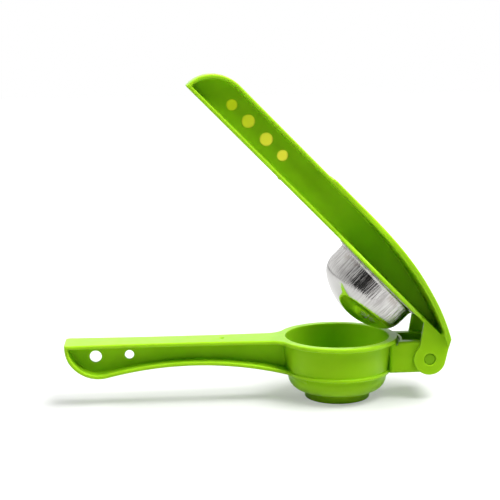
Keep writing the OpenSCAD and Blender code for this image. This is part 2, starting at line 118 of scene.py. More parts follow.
# The same on slots and other fine forms, on holes and other small ones, and where forms join
FINE_R, SMALL_R, JOIN_R, RIM_JOIN_R = 0.3, 0.4, 0.5, 1.0
PIN_EDGE_R, BORE_EDGE_R, SKIN_EDGE_R, SLIT_EDGE_R, MARK_EDGE_R = 0.7, 0.35, 0.25, 0.2, 0.15
OVERLAP = 1.0           # how far one form of a moulding reaches into the next
WALL_SINK = 0.4         # how far the lower flange reaches into the cup's wall
RIM_JOIN_H = 5.0        # the height of wall that the rim is blended into
STEP_RAMP = 3.0         # the length over which the lever's back steps up to the head
SPLIT_DROP = 0.2        # how far under the head the cut by the upper flange's plan begins
FAN_REACH = 2.2         # how far the fan of an ear's fillet reaches, in radii of the fillet
SEAT_GAP = 0.02         # between the dome's lip and the head, so that no two faces coincide

NET_STEP = 0.49         # the net's grid, at a spacing that keeps flat faces off its planes
PROBE, WIDE_PROBE = 0.02, 0.12      # for slopes of a field, exact and slightly smoothed
FLAT_SHARE = 0.08       # tangent planes that differ less than this share make no edge
LEAST_STEEP = 0.25      # keeps a point's move short where the field is nearly level
# GLOW_REACH also sets how far round a point the painted glow on thin edges looks for empty space
GLOW_REACH = 2.6        # how far light spreads in the plastic
DOME_SEGMENTS, PIN_SEGMENTS = 240, 96
CROWN_STEPS, SHOULDER_STEPS, FLARE_STEPS, LIP_STEPS, PIN_EDGE_STEPS = 36, 28, 12, 6, 5


# ---- Distance fields: negative inside, in millimetres ----

def both(a, b, r=0.0):
    """What lies in a and in b, with the edge between them rounded to radius r."""
    if r == 0.0:
        return np.maximum(a, b)
    return np.minimum(np.maximum(a, b), -r) + np.hypot(np.maximum(a + r, 0), np.maximum(b + r, 0))


def either(a, b, r=0.0):
    """What lies in a or in b, with the corner between them filled to radius r."""
    if r == 0.0:
        return np.minimum(a, b)
    return np.maximum(np.minimum(a, b), r) - np.hypot(np.maximum(r - a, 0), np.maximum(r - b, 0))


def without(a, b, r=0.0):
    """What is left of a when b is cut out of it, with the edge rounded to radius r."""
    return both(a, -b, r)


def disc(u, v, centre, r):
    """Distance from the circle of radius r round centre."""
    return np.hypot(u - centre[0], v - centre[1]) - r


def slab(u, low, high):
    """Distance from what lies between low and high."""
    return np.maximum(low - u, u - high)


def line(u, v, p, q):
    """Signed distance from the line through p and q, positive to its left."""
    du, dv = q[0] - p[0], q[1] - p[1]
    return ((v - p[1]) * du - (u - p[0]) * dv) / math.hypot(du, dv)


def tangent_point(p, r):
    """Where the line that runs clockwise from p touches the circle of radius r round the origin."""
    turn = math.atan2(p[1], p[0]) - math.acos(r / math.hypot(*p))
    return r * math.cos(turn), r * math.sin(turn)


def slope_radius(z, low, high):
    """Radius at height z on the straight taper from low = (radius, z) to high."""
    return low[0] + (high[0] - low[0]) * (z - low[1]) / (high[1] - low[1])


def grip_plan(x, y, reach):
    """A grip from above: square end with rounded corners, waisted by two long arcs."""
    edge = GRIP_EDGE_R - np.hypot(x + reach - GRIP_WAIST_BACK, np.abs(y) - GRIP_HALF - GRIP_EDGE_R)
    return both(edge, -reach - x, GRIP_CORNER_R)


def root_fillet(x, y, ring_r, half, r):
    """The two fillets between a grip and a ring round the origin."""
    centre = (-math.sqrt((ring_r + r) ** 2 - (half + r) ** 2), half + r)
    y = np.abs(y)
    fan = both(line(x, y, centre, (0, 0)), both(centre[0] - x, x))
    return both(fan, r - np.hypot(x - centre[0], y - centre[1]))


# ---- Cup body ----

def rim(radius, z):
    """The flat rim, as a solid disc that the cavity opens later."""
    return both(radius - RIM_R, slab(z, RIM_Z - RIM_T, RIM_Z), RIM_EDGE_R)


def cup_shell(x, y, z):
    """Wall, ridge, bowl and foot, all turned round the cup's axis."""
    radius = np.hypot(x, y)
    wall_z, foot_top_z = RIDGE_Z + RIDGE_T, BOWL_Z - BOWL_R + OVERLAP
    wall_low, wall_top = (WALL_LOW_R, wall_z), (WALL_TOP_R, RIM_Z - RIM_T)
    wall = both(radius - slope_radius(z, wall_low, wall_top), slab(z, RIDGE_Z, RIM_Z - OVERLAP))
    ridge = both(radius - RIDGE_R, slab(z, RIDGE_Z, wall_z), FINE_R)
    bowl = np.hypot(np.maximum(radius - BOWL_X, 0), np.minimum(z - BOWL_Z, 0)) - BOWL_R
    bowl = both(bowl, z - RIDGE_Z - OVERLAP / 2)
    foot_r = FOOT_R + FOOT_DRAFT * z / foot_top_z
    foot = both(radius - foot_r, slab(z, 0, foot_top_z), EDGE_R)
    return either(either(either(wall, ridge, FINE_R), bowl, SMALL_R), foot, JOIN_R)


def cup_cavity(x, y, z):
    """The inside of the cup: tapered wall, rounded corner and dished floor."""
    radius = np.hypot(x, y)
    low = (WALL_LOW_R - WALL_T, RIDGE_Z + RIDGE_T)
    high = (WALL_TOP_R - WALL_T, RIM_Z - RIM_T)
    corner_r = BOWL_R - WALL_T
    corner_x = slope_radius(BOWL_Z, low, high) - corner_r
    dished_z = z + FLOOR_DIP * np.clip(1 - radius / corner_x, 0, 1)
    rounded = np.hypot(np.maximum(radius - corner_x, 0), dished_z - BOWL_Z) - corner_r
    return np.where(z > BOWL_Z, radius - slope_radius(z, low, high), rounded)


def foot_hollow(x, y, z):
    """The space inside the foot ring, up to the underside of the dished floor."""
    radius = np.hypot(x, y)
    inner = FOOT_R - FOOT_WALL
    under_floor = BOWL_Z - BOWL_R - FLOOR_DIP * np.clip(1 - radius / inner, 0, 1)
    return both(radius - inner, z - under_floor, EDGE_R)


def juice_slots(x, y, z):
    """Radial slots with round ends, and a hole in the middle."""
    pitch = 2 * math.pi / SLOT_COUNT
    radius, turn = np.hypot(x, y), np.arctan2(y, x)
    turn = np.mod(turn + pitch / 2, pitch) - pitch / 2
    along, across = radius * np.cos(turn), radius * np.sin(turn)
    slot = np.hypot(along - np.clip(along, SLOT_INNER, SLOT_OUTER), across) - SLOT_W / 2
    hole = radius - SLOT_W / 2
    return both(either(slot, hole), z - BOWL_Z)


def handle_side(x, z, inset):
    """The handle from the side, drawn in by inset: a round end that runs into a hollow waist."""
    end = (HANDLE_END_R - HANDLE_REACH, RIM_Z)
    dx, dz = -WAIST_X - end[0], RIM_Z - WAIST_Z
    waist_r = (dx ** 2 + dz ** 2 - HANDLE_END_R ** 2) / (2 * (HANDLE_END_R - dz))
    waist = (-WAIST_X, WAIST_Z - waist_r)
    past_touch = line(x, z, waist, end) < 0
    under = np.where(past_touch, waist_r + inset - np.hypot(x - waist[0], z - waist[1]),
                     disc(x, z, end, HANDLE_END_R - inset))
    return both(under, z - RIM_Z + inset, CORNER_R)


def handle_plan(x, y, ring_r):
    """From above: the grip, filleted into a disc of radius ring_r round the cup's axis."""
    fillets = root_fillet(x, y, ring_r, GRIP_HALF + ROOT_WIDENING, ROOT_R)
    return either(either(grip_plan(x, y, HANDLE_REACH), fillets), disc(x, y, (0, 0), ring_r))


def lower_handle(x, y, z):
    """An I-section: two flanges, whose plans run out to the rim and to the wall, and a web."""
    upper = both(handle_plan(x, y, RIM_R), RIM_Z - HANDLE_END_R / 2 - z)
    plan = either(upper, handle_plan(x, y, WALL_LOW_R - WALL_SINK))
    within = both(plan, x + BOWL_X)
    rims = without(handle_side(x, z, 0), handle_side(x, z, FLANGE_T))
    flanges = both(rims, within, FLANGE_EDGE_R)
    web = both(handle_side(x, z, FLANGE_T / 2), np.abs(y) - WEB_T / 2)
    web = both(web, x + WALL_LOW_R - WALL_T / 2)
    return either(flanges, web, CORNER_R)


def hinge_arm(x, y, z):
    """A block with rounded long edges, whose top slopes down to a round end about the hinge."""
    u, v = x - HINGE.x, z - HINGE.z
    shoulder = (-ARM_SHOULDER, ARM_TOP_Z - HINGE.z)
    touch = tangent_point(shoulder, ARM_END_R)
    round_end = (line(u, v, (0, 0), touch) < 0) & (u > 0)
    end = np.where(round_end, disc(u, v, (0, 0), ARM_END_R), line(u, v, shoulder, touch))
    side = both(both(end, v - shoulder[1]), both(ARM_BASE_Z - z, WALL_LOW_R - OVERLAP - x))
    return both(side, np.abs(y) - ARM_HALF, ARM_EDGE_R)


def arm_pocket(x, y, z):
    """The open pocket between the cheeks; the wall that closes it follows the rim."""
    reach = both(POCKET_R - np.hypot(x, y), x - (HINGE.x + PIN_R + OVERLAP))
    walls = both(both(reach, -x), np.abs(y) - ARM_HALF + CHEEK_T, SMALL_R)
    return both(walls, ARM_BASE_Z + POCKET_FLOOR_T - z, SMALL_R)


def rim_slit(x, y, z):
    """The narrow slit that parts the rim's edge from the arm."""
    ring = slab(np.hypot(x, y), RIM_R, RIM_R + RIM_SLIT_W)
    return both(both(ring, RIM_Z - RIM_SLIT_H - z), HINGE.x / 2 - x)


def gate_mark(x, y, z):
    """The round dimple that the mould's gate left on top of the handle."""
    return both(disc(x, y, (-GATE_MARK_X, 0), GATE_MARK_R), RIM_Z - GATE_MARK_DEPTH - z)


def cup_body(x, y, z):
    """The whole lower moulding: cup, handle and arm, less everything that is cut out of them."""
    cup = either(either(cup_shell(x, y, z), hinge_arm(x, y, z), JOIN_R), lower_handle(x, y, z), CORNER_R)
    upper_wall = both(cup_shell(x, y, z), RIM_Z - RIM_JOIN_H - z)
    solid = either(cup, either(rim(np.hypot(x, y), z), upper_wall, RIM_JOIN_R))
    solid = without(solid, cup_cavity(x, y, z), SMALL_R)
    solid = without(solid, foot_hollow(x, y, z), SMALL_R)
    solid = without(solid, juice_slots(x, y, z), FINE_R)
    solid = without(solid, arm_pocket(x, y, z), FINE_R)
    solid = without(solid, rim_slit(x, y, z), SLIT_EDGE_R)
    solid = without(solid, disc(x, z, (HINGE.x, HINGE.z), PIN_R))
    solid = without(solid, gate_mark(x, y, z), MARK_EDGE_R)
    for reach, height, r in (HANG_HOLE, CORD_HOLE):
        solid = without(solid, disc(x, z, (-reach, height), r), SMALL_R)
    return solid


# ---- Lever, closed, about its hinge axis ----

def arc_height(centre, r, x):
    """Height at x of the upper half of the circle of radius r round centre."""
    return centre[1] + math.sqrt(r ** 2 - (x - centre[0]) ** 2)


# The back is two arcs, tangent where the second starts to run down to the tail
CROWN = (-CROWN_X, HEAD_H - CROWN_R)
BEND = (-BEND_X, arc_height(CROWN, CROWN_R, -BEND_X))
TAIL_ARC = tuple(c + (b - c) * (1 - TAIL_R / CROWN_R) for b, c in zip(BEND, CROWN))
TAIL = (TAIL_X, arc_height(TAIL_ARC, TAIL_R, TAIL_X))
# The ears' back edges start just short of the tail's end, and are tangent to their round ends
EAR_TAIL = (TAIL[0] - TAIL_PROUD, TAIL[1])
EAR_TOUCH = tangent_point(EAR_TAIL, EAR_R)
BACK_T = HEAD_H - GRIP_H + FLANGE_T
TIP_R = GRIP_H - BASE_H
TIP = (TIP_R - LEVER_REACH, BASE_H)


def under_back(x, z, inset, head_inset):
    """The lever's back from tip to tail, drawn in: round tip, flat grip, step and curved head."""
    ramp = np.clip((x + STEP_X + STEP_RAMP) / STEP_RAMP, 0, 1)
    flat = z - (GRIP_H - inset + (HEAD_H - head_inset - GRIP_H + inset) * ramp * ramp * (3 - 2 * ramp))
    grip = np.where(x < TIP[0], disc(x, z, TIP, TIP_R - inset), flat)
    crown = np.where(x > BEND[0], disc(x, z, TAIL_ARC, TAIL_R - head_inset),
                     disc(x, z, CROWN, CROWN_R - head_inset))
    return np.where(x > CROWN[0], crown, grip)


def lever_side(x, z):
    """The lever from the side: its back, its flat underside and its tail."""
    tail = line(x - TAIL_PROUD, z, EAR_TAIL, EAR_TOUCH)
    return both(both(under_back(x, z, 0, 0), BASE_H - z), tail)


def lever_recess(x, z):
    """What lies between the lever's flanges, seen from the side."""
    back = under_back(x, z, FLANGE_T, BACK_T)
    return both(both(back, BASE_H + BASE_T - z, CORNER_R), x + RECESS_BACK, CORNER_R)


def above_split(x, z):
    """What the upper flange's plan cuts: above a line in the recess, and above the tail's end."""
    split_h = (BASE_H + GRIP_H - FLANGE_T) / 2
    back_h = arc_height(TAIL_ARC, TAIL_R, -RECESS_BACK)
    under = (-RECESS_BACK, arc_height(TAIL_ARC, TAIL_R - BACK_T, -RECESS_BACK) - SPLIT_DROP)
    slope = (TAIL[1] - back_h) / (TAIL[0] + RECESS_BACK)
    down = line(x, z, (-BEND_X, split_h), under)
    end = line(x, z, under, (under[0] + 1, under[1] + slope))
    return -np.maximum(z - split_h, np.maximum(down, end))


def tail_plan(x, y):
    """From above, straight sides from the head's round outline to the tail's corners."""
    turn = math.atan2(TAIL_HALF, TAIL_X + DOME_X)
    turn += math.acos(HEAD_R / math.hypot(TAIL_HALF, TAIL_X + DOME_X))
    touch = (HEAD_R * math.cos(turn), HEAD_R * math.sin(turn))
    side = line(x + DOME_X, np.abs(y), touch, (TAIL_X + DOME_X, TAIL_HALF))
    return both(side, line(x + DOME_X, np.abs(y), (0, 0), touch))


def lever_plan(x, y, z):
    """From above: a grip that sweeps out to the round head, wider along its upper flange."""
    grip = both(grip_plan(x, y, LEVER_REACH), x + DOME_X)
    round_head = either(grip, disc(x, y, (-DOME_X, 0), HEAD_R))
    widening = GRIP_HALF + HEAD_WIDENING
    lower = either(round_head, root_fillet(x + DOME_X, y, HEAD_R, widening, ROOT_R))
    lower = either(lower, both(slab(x, -DOME_X, EAR_R), np.abs(y) - EAR_OUTER))
    upper = either(round_head, root_fillet(x + DOME_X, y, HEAD_R, widening, SWEEP_R))
    upper = either(upper, tail_plan(x, y))
    return either(lower, both(upper, above_split(x, z)))


def convex(u, v, points):
    """The convex polygon through points, given counter-clockwise."""
    edges = zip(points, points[1:] + points[:1])
    distances = [-line(u, v, p, q) for p, q in edges]
    result = distances[0]
    for distance in distances[1:]:
        result = np.maximum(result, distance)
    return result


def ear_side(x, z):
    """One ear: a round end, tangent to its back edge and filleted in front."""
    slope = math.radians(EAR_SLOPE)
    along, out = (math.cos(slope), -math.sin(slope)), (-math.sin(slope), -math.cos(slope))
    edge_d = -EAR_ROOT * out[0] + BASE_H * out[1]
    run = math.sqrt((EAR_R + EAR_FILLET_R) ** 2 - (edge_d + EAR_FILLET_R) ** 2)
    fillet = tuple((edge_d + EAR_FILLET_R) * out[i] - run * along[i] for i in (0, 1))
    reach = FAN_REACH * EAR_FILLET_R
    to_edge = (fillet[0] - reach * out[0], fillet[1] - reach * out[1])
    to_hub = tuple(c * (1 - reach / (EAR_R + EAR_FILLET_R)) for c in fillet)
    fan = both(convex(x, z, [fillet, to_hub, to_edge]), -disc(x, z, fillet, EAR_FILLET_R))
    front = x * out[0] + z * out[1] - edge_d
    behind = line(x, z, EAR_TAIL, EAR_TOUCH)
    blade = both(both(front, behind), both(x * along[0] + z * along[1], z - BASE_H - BASE_T))
    return either(either(blade, fan), disc(x, z, (0, 0), EAR_R))


def dome_form(radius, z, inset):
    """The dome as a solid under z = 0: straight side, shoulder arc and crown arc."""
    meet = (SHOULDER_X, DOME_SIDE_Z - CROWN_ARC_Z)
    on_crown = radius * meet[1] - (z - CROWN_ARC_Z) * meet[0] > 0
    shoulder = np.hypot(radius - SHOULDER_X, z - DOME_SIDE_Z) - SHOULDER_R
    crown = np.hypot(radius, z - CROWN_ARC_Z) - CROWN_ARC_R
    return np.where(z > DOME_SIDE_Z, radius - DOME_R, np.where(on_crown, crown, shoulder)) + inset


def dome_stem(x, y, z):
    """The ring and the crossed ribs that the dome sits on."""
    x, z = x + DOME_X, z - BASE_H
    radius = np.hypot(x, y)
    ring_r = DOME_R - STEEL_T
    ring = both(slab(radius, ring_r - RIB_T, ring_r), slab(z, -SIDE_H, BASE_T / 2))
    ribs = None
    for i in range(RIB_COUNT):
        turn = i * math.pi / RIB_COUNT
        rib = np.abs(y * math.cos(turn) - x * math.sin(turn)) - RIB_T / 2
        ribs = rib if ribs is None else either(ribs, rib, JOIN_R)
    tip_z = STEM_TIP_DROP - STEEL_T - SIDE_H - CROWN_DEPTH
    ribs = both(both(ribs, dome_form(radius, z, STEEL_T + RIB_GAP)), slab(z, tip_z, BASE_T / 2))
    return either(ring, ribs, JOIN_R)


def press_lever(x, y, z):
    """The whole upper moulding: flanges, web, ears and stem, less the bore and the web's pockets."""
    side = lever_side(x, z)
    frame_side = without(side, lever_recess(x, z))
    flanges = both(frame_side, lever_plan(x, y, z), FLANGE_EDGE_R)
    web = both(side + FLANGE_T / 2, np.abs(y) - WEB_T / 2)
    solid = either(flanges, web, CORNER_R)
    ears = both(ear_side(x, z), slab(np.abs(y), EAR_INNER, EAR_OUTER), EDGE_R)
    solid = either(solid, ears)
    solid = either(solid, dome_stem(x, y, z), SMALL_R)
    gate = both(disc(x, y, (-GATE_X, 0), GATE_R), slab(z, BASE_H - GATE_H, BASE_H + OVERLAP), FINE_R)
    solid = either(solid, gate, FINE_R)
    solid = without(solid, disc(x, z, (0, 0), PIN_R + PIN_PLAY), BORE_EDGE_R)
    row_h = (BASE_H + GRIP_H) / 2
    for offset, r in WEB_POCKETS:
        pocket = both(disc(x, z, (offset - WEB_POCKET_X, row_h), r), SKIN_T - WEB_T / 2 - y)
        solid = without(solid, pocket, SKIN_EDGE_R)
    return solid


# ---- From a field to a mesh ----

def surface_net(field, low, high, step):
    """Vertices (mm), quads, normals and thinness of the surface where field is zero.

    There is one vertex in each grid cell that the surface crosses. It lies where the tangent
    planes at the cell's crossings meet, so that edges stay crisp.
    """
    axes = [np.arange(a - 1.5 * step, b + 2.5 * step, step) for a, b in zip(low, high)]
    x, y, z = axes[0][:, None, None], axes[1][None, :, None], axes[2][None, None, :]
    value = np.broadcast_to(field(x, y, z), [len(a) for a in axes]).astype(np.float32)
    found = [crossings(value, axis) for axis in range(3)]
    start = np.array([a[0] for a in axes])
    hits = np.concatenate([f[0] for f in found]) * step + start
    cells, quads = np.unique(np.concatenate([f[1] for f in found]), return_inverse=True)
    quads = quads.reshape(-1, 4)
    corner = np.stack(np.unravel_index(cells, value.shape), 1) * step + start
    points = tangent_meet(hits, unit(slope_at(field, hits, PROBE)), quads.ravel(), len(cells))
    points = onto_surface(field, np.clip(points, corner, corner + step), step)
    return points, quads, unit(slope_at(field, points, WIDE_PROBE)), thinness(field, points)


def crossings(value, axis):
    """Where the grid's edges along axis cross the surface, and the four cells round each."""
    others = [(axis + 1) % 3, (axis + 2) % 3]
    near = [slice(None)] * 3
    far = [slice(None)] * 3
    near[axis], far[axis] = slice(0, -1), slice(1, None)
    for other in others:
        near[other] = far[other] = slice(1, -1)
    a, b = value[tuple(near)], value[tuple(far)]
    where = np.argwhere((a < 0) != (b < 0))
    a, b = a[tuple(where.T)].astype(float), b[tuple(where.T)].astype(float)
    where[:, others] += 1
    hits = where.astype(float)
    hits[:, axis] += a / (a - b)
    rounds = []
    for du, dv in ((1, 1), (0, 1), (0, 0), (1, 0)):
        at = where.copy()
        at[:, others[0]] -= du
        at[:, others[1]] -= dv
        rounds.append(np.ravel_multi_index(at.T, value.shape))
    rounds = np.stack(rounds, 1)
    return hits, np.where((a < 0)[:, None], rounds, rounds[:, ::-1])


def tangent_meet(hits, normals, cell, count):
    """For each cell, the point nearest to the tangent planes at its hits, and to their mean.

    Directions in which those planes hardly differ say nothing, and stay with the mean.
    """
    def summed(amount):
        return np.bincount(cell, np.repeat(amount, 4), count)

    mean = np.stack([summed(hits[:, i]) for i in range(3)], 1) / summed(np.ones(len(hits)))[:, None]
    reach = (normals * hits).sum(1)
    spread = np.empty((count, 3, 3))
    for i in range(3):
        for j in range(3):
            spread[:, i, j] = summed(normals[:, i] * normals[:, j])
    pull = np.stack([summed(normals[:, i] * reach) for i in range(3)], 1)
    pull -= np.einsum("nij,nj->ni", spread, mean)
    size, axes = np.linalg.eigh(spread)
    kept = np.where(size > FLAT_SHARE * size[:, 2:], 1 / np.maximum(size, 1e-9), 0)
    return mean + np.einsum("nij,nj->ni", axes, kept * np.einsum("nji,nj->ni", axes, pull))


def slope_at(field, points, probe):
    """The field's slope at points, from differences over twice the probe's length."""
    return np.stack([field(*(points + d).T) - field(*(points - d).T)
                     for d in np.eye(3) * probe], 1) / (2 * probe)


def unit(vectors):
    """The vectors at length one."""
    return vectors / np.maximum(np.linalg.norm(vectors, axis=1), 1e-9)[:, None]


def onto_surface(field, points, step):
    """Moves points down the field's slope until they lie on the surface."""
    for _ in range(2):
        slope = slope_at(field, points, PROBE)
        steep = np.maximum((slope ** 2).sum(1), LEAST_STEEP)
        points = points - np.clip(field(*points.T) / steep, -step / 2, step / 2)[:, None] * slope
    return points


def thinness(field, points):
    """How empty the space round each point is: 0.5 on a flat thick wall, more on edges and ribs."""
    ways = np.array([(i, j, k) for i in (-1, 0, 1) for j in (-1, 0, 1) for k in (-1, 0, 1)
                     if abs(i) + abs(j) + abs(k) in (1, 3)], float)
    probes = unit(ways) * GLOW_REACH
    empty = [np.clip(field(*(points + d).T) / (2 * GLOW_REACH) + 0.5, 0, 1) for d in probes]
    return np.mean(empty, axis=0)


def mesh_object(name, points, faces, material, body, node, normals=None, thin=None):
    """A smooth-shaded piece from points in metres and quads, in place of a CAD node."""
    mesh = bpy.data.meshes.new(name)
    mesh.vertices.add(len(points))
    mesh.vertices.foreach_set("co", np.asarray(points, np.float32).ravel())
    mesh.loops.add(faces.size)
    mesh.loops.foreach_set("vertex_index", faces.ravel().astype(np.int32))
    mesh.polygons.add(len(faces))
    mesh.polygons.foreach_set("loop_start", np.arange(0, faces.size, faces.shape[1], dtype=np.int32))
    mesh.update(calc_edges=True)
    mesh.shade_smooth()
    if normals is not None:
        mesh.normals_split_custom_set_from_vertices(normals.tolist())
        mesh.attributes.new("thin", "FLOAT", "POINT").data.foreach_set("value", thin.astype(np.float32))
    mesh.materials.append(material)
    piece = bpy.data.objects.new(name, mesh)
    bpy.context.scene.collection.objects.link(piece)
    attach(piece, body)
    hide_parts(node)
    return piece


def turned(vectors):
    """Directions of the closed lever, as they lie at the rest pose."""
    return vectors @ np.array(Matrix.Rotation(OPEN_ANGLE, 3, "Y")).T


def opened(points):
    """Points of the closed lever, in millimetres about its hinge axis, at the rest pose in metres."""
    return (turned(points) + np.array(HINGE)) * MM


def lathe(profile, segments):
    """Points and quads of a profile of (radius, height), from pole to pole, turned round z."""
    turns = np.arange(segments) * 2 * math.pi / segments
    ring = np.stack([np.cos(turns), np.sin(turns)], 1)
    points = np.concatenate([np.column_stack([ring * r, np.full(segments, h)]) for r, h in profile])
    here, after = np.arange(segments), (np.arange(segments) + 1) % segments
    rows = [i * segments for i in range(len(profile) - 1)]
    quads = [np.stack([a + here, a + after, a + segments + after, a + segments + here], 1) for a in rows]
    return points, np.concatenate(quads)


def weld(piece, distance=1e-6):
    """Joins points that lie together, such as those at a lathed piece's poles."""
    work = bmesh.new()
    work.from_mesh(piece.data)
    bmesh.ops.remove_doubles(work, verts=work.verts, dist=distance)
    work.to_mesh(piece.data)
    work.free()


def arc(centre, r, start, stop, steps):
    """Points on an arc, with the angles in degrees."""
    turns = [math.radians(start + (stop - start) * i / steps) for i in range(steps + 1)]
    return [(centre[0] + r * math.cos(t), centre[1] + r * math.sin(t)) for t in turns]


# ---- Steel dome and pin ----

def dome_surface(inset):
    """The dome's outside in section from its pole to its lip, drawn in by inset."""
    meet = math.degrees(math.atan2(DOME_SIDE_Z - CROWN_ARC_Z, SHOULDER_X))
    crown = arc((0, CROWN_ARC_Z), CROWN_ARC_R - inset, -90, meet, CROWN_STEPS)
    shoulder = arc((SHOULDER_X, DOME_SIDE_Z), SHOULDER_R - inset, meet, 0, SHOULDER_STEPS)
    flare = arc((DOME_R + FLARE_R, -STEEL_T - FLARE_R), FLARE_R + inset, 180, 90, FLARE_STEPS)
    return crown + shoulder[1:] + flare


def make_dome(material):
    """The pressed steel shell, with a rounded lip, seated under the head."""
    lip = arc((LIP_R - STEEL_T / 2, -STEEL_T / 2), STEEL_T / 2, -90, 90, LIP_STEPS)
    profile = dome_surface(0) + lip + dome_surface(STEEL_T)[::-1]
    profile = [(max(r, 0), h) for r, h in profile]
    points, quads = lathe(profile, DOME_SEGMENTS)
    points = points + (-DOME_X, 0, BASE_H - SEAT_GAP)
    piece = mesh_object("steel_dome", opened(points), quads, material, "lever",
                        "press_dome")
    weld(piece)
    return piece


def make_pin(material):
    """The pin across the fork, with rounded ends that lie just inside the ears."""
    half = EAR_OUTER - PIN_RECESS
    edge = arc((PIN_R - PIN_EDGE_R, half - PIN_EDGE_R), PIN_EDGE_R, 90, 0, PIN_EDGE_STEPS)
    end = [(0, half)] + edge
    profile = [(r, -h) for r, h in end] + end[::-1]
    points, quads = lathe(profile, PIN_SEGMENTS)
    points = points[:, [0, 2, 1]] * (1, -1, 1) + np.array(HINGE)
    piece = mesh_object("pin", points * MM, quads, material, "cup", "hinge_pin")
    weld(piece)
    return piece


def make_mouldings(plastic):
    """Both plastic mouldings, each as one mesh."""
    points, quads, normals, thin = surface_net(cup_body, tuple(CUP_LOW), tuple(CUP_HIGH), NET_STEP)
    mesh_object("cup_and_handle", points * MM, quads, plastic, "cup", "cup_body",
                normals, thin)
    low, high = (-LEVER_REACH, -HEAD_R, -CROWN_DEPTH - SIDE_H), (EAR_R, HEAD_R, HEAD_H)
    points, quads, normals, thin = surface_net(press_lever, low, high, NET_STEP)
    mesh_object("lever_and_head", opened(points), quads, plastic, "lever",
                "press_lever", turned(normals), thin)


# ---- Materials ----

class Nodes:
    """Short calls for building the nodes of a material or of the world."""

    def __init__(self, owner):
        self.tree = owner.node_tree
        self.shader = self.tree.nodes.get("Principled BSDF")

    def add(self, kind, **inputs):
        node = self.tree.nodes.new(kind)
        for key, value in inputs.items():
            self.put(node, key, value)
        return node

    def put(self, node, key, value):
        """Sets an input socket by name, or links it when value is a socket."""
        socket = node.inputs[key.replace("_", " ")] if isinstance(key, str) else node.inputs[key]
        if isinstance(value, bpy.types.NodeSocket):
            self.tree.links.new(value, socket)
        else:
            socket.default_value = value

    def math(self, operation, a, b=0.0):
        node = self.add("ShaderNodeMath")
        node.operation = operation
        self.put(node, 0, a)
        self.put(node, 1, b)
        return node.outputs[0]

    def noise(self, vector, scale, detail=3.0):
        return self.add("ShaderNodeTexNoise", Vector=vector, Scale=scale, Detail=detail).outputs["Fac"]

    def ramp(self, value, start, stop, low, high):
        """Maps start..stop smoothly to low..high."""
        node = self.add("ShaderNodeMapRange", Value=value, From_Min=start, From_Max=stop,
                        To_Min=low, To_Max=high)
        node.interpolation_type = "SMOOTHSTEP"
        return node.outputs[0]

    def spread(self, value, low, high):
        """Maps 0.3 to 0.7, where noise mostly lies, to low and high."""
        return self.ramp(value, 0.3, 0.7, low, high)

    def blend(self, share, a, b):
        node = self.add("ShaderNodeMix")
        node.data_type = "RGBA"
        self.put(node, 0, share)
        self.put(node, 6, a)
        self.put(node, 7, b)
        return node.outputs[2]

    def bump(self, height, strength, distance):
        return self.add("ShaderNodeBump", Height=height, Strength=strength, Distance=distance).outputs[0]


# Head-on reflections from the plastic keep its hue; grazing ones are white
PLASTIC_SHEEN = (0.45, 1.0, 0.05, 1.0)
PLASTIC_IOR, GLOW_WEIGHT, GLOW_SPREAD = 1.49, 0.35, (1.0, 1.0, 0.2)
# Noise scales of the colour's mottle, the gloss and the ripple, and what the roughness runs between
MOTTLE_SCALE, GLOSS_SCALE, RIPPLE_SCALE, PLASTIC_ROUGHNESS = 60.0, 220.0, 900.0, (0.30, 0.36)
# The thinness at which the painted glow on thin edges starts, and at which it is full
THIN_START, THIN_FULL = 0.58, 0.72
# The painted glow of the pockets' skins, colours lighter than the green that stand in for light through
# them, at the tip end and at the head end of their row, and how much light they pass
SKIN_GLOW_TIP_END, SKIN_GLOW_HEAD_END, SKIN_SHARE = (0.55, 0.72, 0.01, 1.0), (0.90, 0.90, 0.06, 1.0), 0.8
# Heights on the dome, in metres from the head, between which its drawn lines and its brownish patches set
# in
LINES_HEIGHT, BROWN_PATCH_HEIGHT = (-0.020, -0.011), (-0.0075, -0.0015)


def srgb(r, g, b):
    """A linear colour with alpha from 8-bit sRGB values."""
    linear = [c / 255 / 12.92 if c <= 10 else ((c / 255 + 0.055) / 1.055) ** 2.4 for c in (r, g, b)]
    return (*linear, 1.0)


def lever_axes(n, origin):
    """A point of the lever, in metres about origin, in the axes of the closed lever."""
    offset = n.add("ShaderNodeVectorMath")
    offset.operation = "SUBTRACT"
    n.put(offset, 0, n.add("ShaderNodeTexCoord").outputs["Object"])
    n.put(offset, 1, tuple(opened(np.array([origin]))[0]))
    local = n.add("ShaderNodeVectorRotate", Vector=offset.outputs[0], Angle=-OPEN_ANGLE)
    local.rotation_type = "Y_AXIS"
    return n.add("ShaderNodeSeparateXYZ", Vector=local.outputs[0]).outputs


def pocket_skins(n):
    """1 on the skins of the lever's four blind pockets, where their glow is painted, with the position
    along their row.
    """
    axes = lever_axes(n, (-WEB_POCKET_X, 0, (BASE_H + GRIP_H) / 2))
    mask = 0.0
    for offset, r in WEB_POCKETS:
        across = n.math("SUBTRACT", axes["X"], offset * MM)
        squares = n.math("ADD", n.math("POWER", across, 2.0), n.math("POWER", axes["Z"], 2.0))
        away = n.math("SQRT", squares)
        mask = n.math("ADD", mask, n.ramp(away, (r - 0.5) * MM, (r + 0.2) * MM, 1.0, 0.0))
    in_web = n.math("LESS_THAN", n.math("ABSOLUTE", axes["Y"]), WEB_T / 2 * MM + 0.0001)
    return n.math("MULTIPLY", mask, in_web), n.ramp(axes["X"], -0.024, 0.024, 0.0, 1.0)


